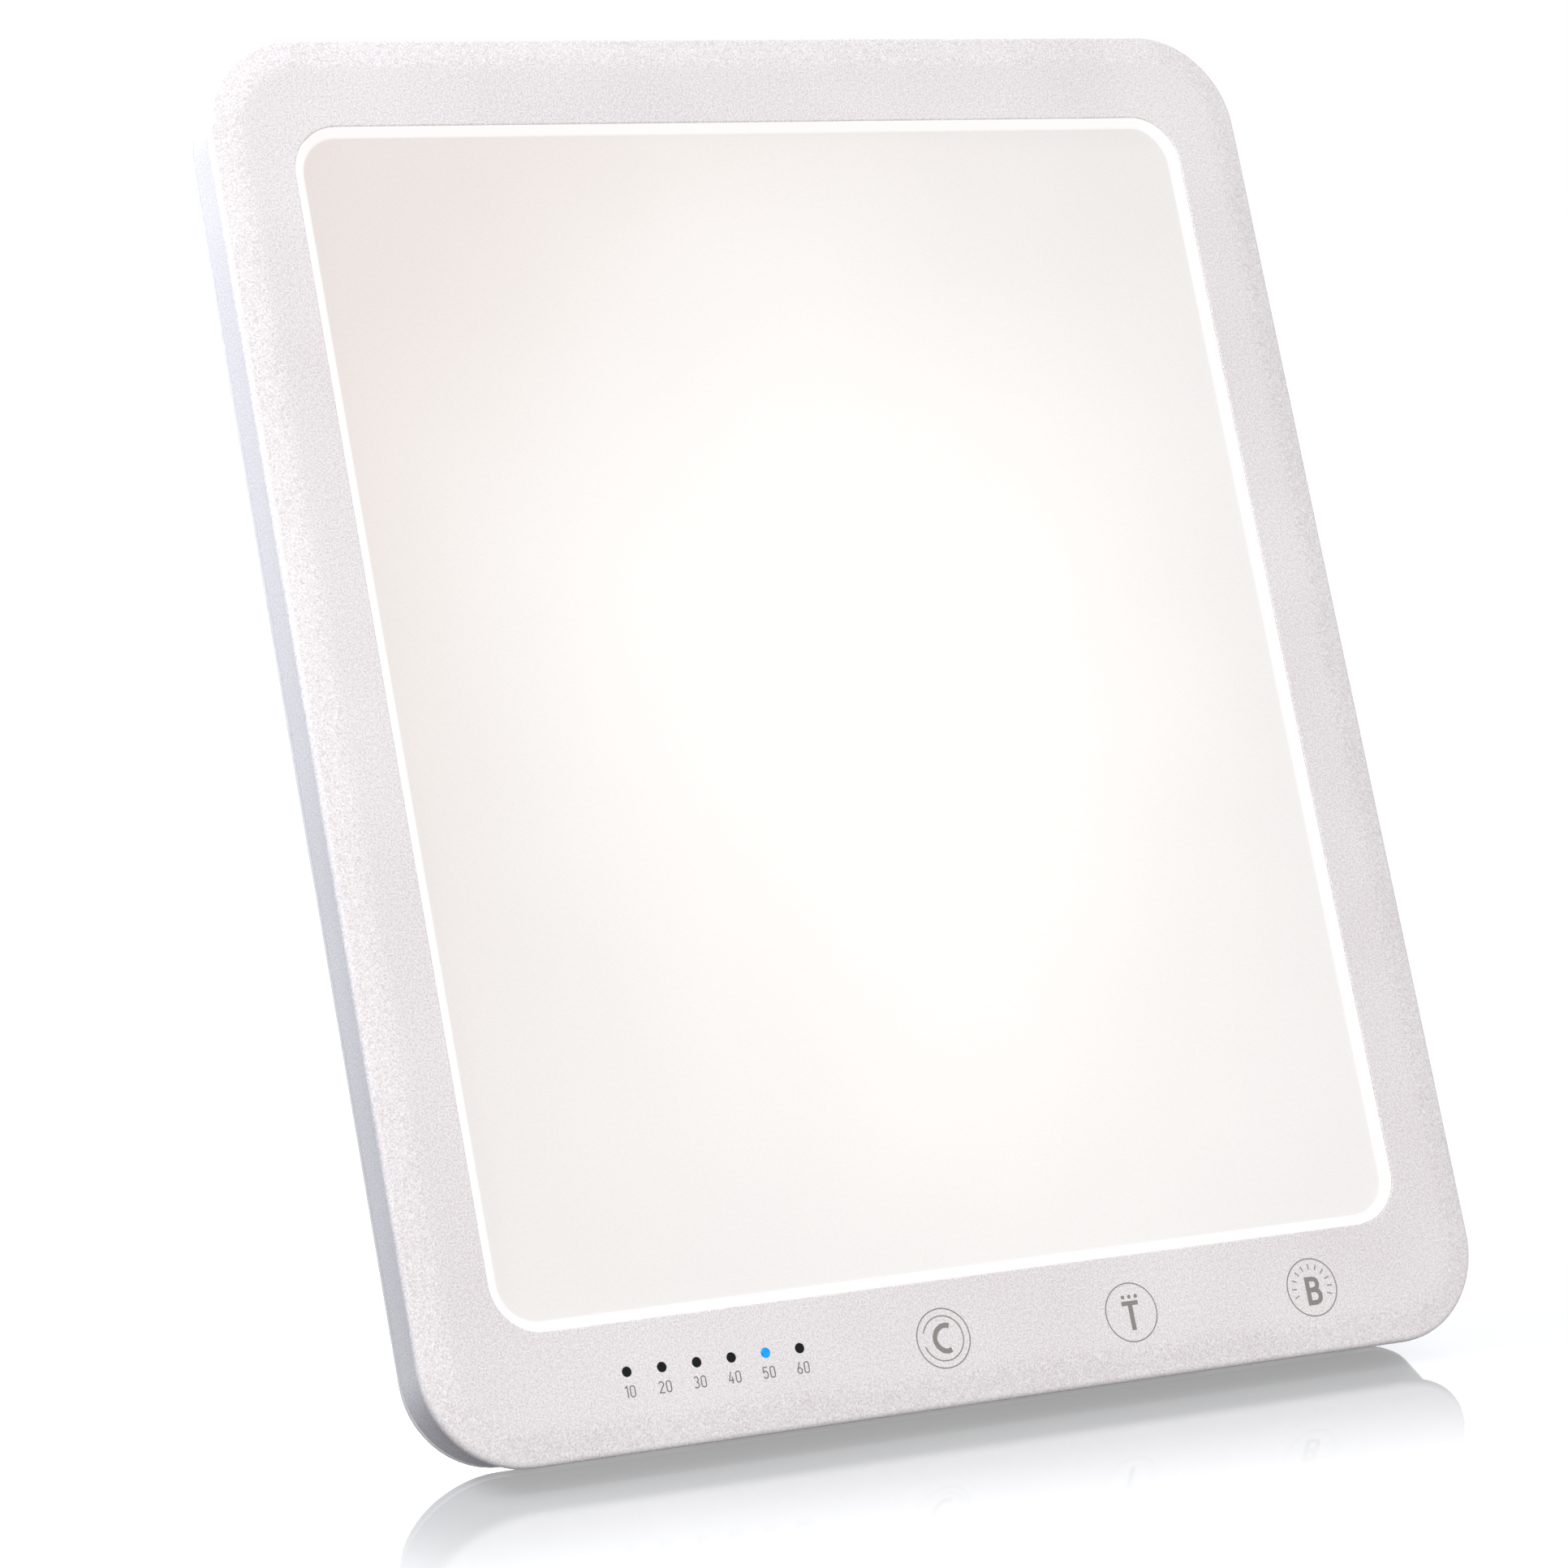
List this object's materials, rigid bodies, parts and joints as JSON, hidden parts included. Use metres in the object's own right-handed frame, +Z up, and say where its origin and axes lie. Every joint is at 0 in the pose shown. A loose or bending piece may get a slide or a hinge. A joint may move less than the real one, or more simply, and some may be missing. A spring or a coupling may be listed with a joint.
{
  "type": "light therapy lamp",
  "caption": "Slim upright light panel with a large opal diffuser, touch keys and timer lamps on its bezel, leaning back on a fold-out rear leg.",
  "frame": {"origin": "centre of the lamp's box across and front to back, on the surface it stands on, with the leg open", "axes": "+Z up, +X to the viewer's right across the panel, +Y towards the back, the panel leans back 22.5 degrees towards +Y"},
  "size_m": [0.1984, 0.1034, 0.2234],
  "materials": {
    "shell": "fine matte grain, warm white",
    "back": "fine matte grain, cool white",
    "diffuser": "opal, lit from behind",
    "film": "frosted",
    "guide": "clear acrylic",
    "reflector": "white film",
    "tray": "mill",
    "strip": "white board",
    "chip": "phosphor",
    "board": "green solder mask",
    "component": "black moulded",
    "capacitor": "can",
    "wire": "insulation",
    "lens": "smoked",
    "lens_lit": "lit blue",
    "electrode": "conductive foam",
    "jack": "black moulded",
    "contact": "plated",
    "steel": "zinc plated",
    "washer": "spring steel",
    "rubber": "soft grey",
    "clamp": "white moulded"
  },
  "bodies": {
    "housing": {"front_cover": "shell", "rear_cover": "back", "cover_screws": "steel", "foot_left": "rubber", "foot_right": "rubber", "diffuser": "diffuser", "diffuser_film": "film", "light_guide": "guide", "reflector_sheet": "reflector", "heat_tray": "tray", "tray_screws": "steel", "led_strip_left": "strip", "led_strip_right": "strip", "led_chips_left": "chip", "led_chips_right": "chip", "led_wires_left": "wire", "led_wires_right": "wire", "control_board": "board", "board_screws": "steel", "indicator_leds": "chip", "controller_chip": "component", "led_driver_chip": "component", "power_inductor": "component", "filter_capacitor": "capacitor", "dc_jack": "jack", "dc_jack_pin": "contact", "touch_pad_colour": "electrode", "touch_pad_timer": "electrode", "touch_pad_brightness": "electrode", "hinge_pin_left": "steel", "hinge_pin_right": "steel", "friction_washer_left": "washer", "friction_washer_right": "washer", "hinge_clamp_left": "clamp", "hinge_clamp_right": "clamp", "clamp_screws": "steel", "indicator_lens_10": "lens", "indicator_lens_20": "lens", "indicator_lens_30": "lens", "indicator_lens_40": "lens", "indicator_lens_50": "lens_lit", "indicator_lens_60": "lens"},
    "stand": {"stand_leg": "back", "stand_foot": "rubber"}
  },
  "joints": [
    {"name": "stand_fold", "type": "hinge", "parent": "housing", "child": "stand", "pos_m": [0, 0.00628, 0.11285], "axis": [-1, 0, 0], "range_deg": [0, 34]}
  ]
}
